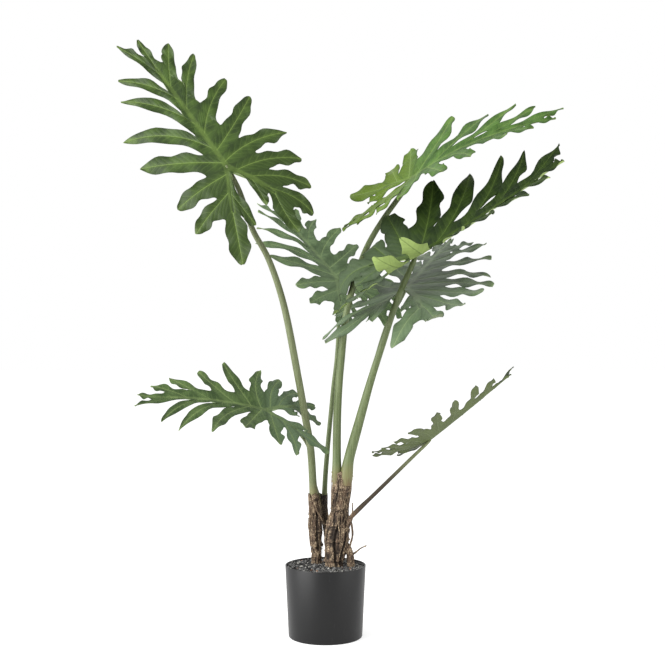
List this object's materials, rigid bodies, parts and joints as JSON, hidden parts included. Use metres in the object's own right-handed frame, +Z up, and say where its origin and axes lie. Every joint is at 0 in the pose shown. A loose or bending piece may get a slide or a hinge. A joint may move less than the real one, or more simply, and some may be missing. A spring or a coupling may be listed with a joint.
{
  "type": "potted philodendron",
  "caption": "Tall potted philodendron with deeply lobed leaves on long arching stalks, brown scarred stems and a black tapered pot filled with gravel.",
  "frame": {"origin": "centre of the pot's flat underside", "axes": "+Z up, -Y towards the front seen in the picture, +X to its right"},
  "size_m": [0.8162, 0.6179, 1.1133],
  "materials": {
    "pot": "black moulded plastic, satin",
    "gravel": "loose dark grey and black granules, rough",
    "bark": "brown fibrous bark with pale specks, rough",
    "sheath": "dark dry leaf sheath, rough",
    "stalk": "pale grey-green, smooth, satin",
    "leaf": "green, soft satin sheen, paler veins and underside"
  },
  "bodies": {
    "root": {"pot": "pot", "gravel": "gravel", "stem_main": "bark", "stem_left": "bark", "stem_back": "sheath", "stalk_a": "stalk", "stalk_b": "stalk", "stalk_c": "stalk", "stalk_d": "stalk", "stalk_e": "stalk", "stalk_g": "stalk", "stalk_h": "stalk", "blade_a": "leaf", "blade_b": "leaf", "blade_c": "leaf", "blade_d": "leaf", "blade_e": "leaf", "blade_g": "leaf", "blade_h": "leaf"}
  },
  "joints": []
}
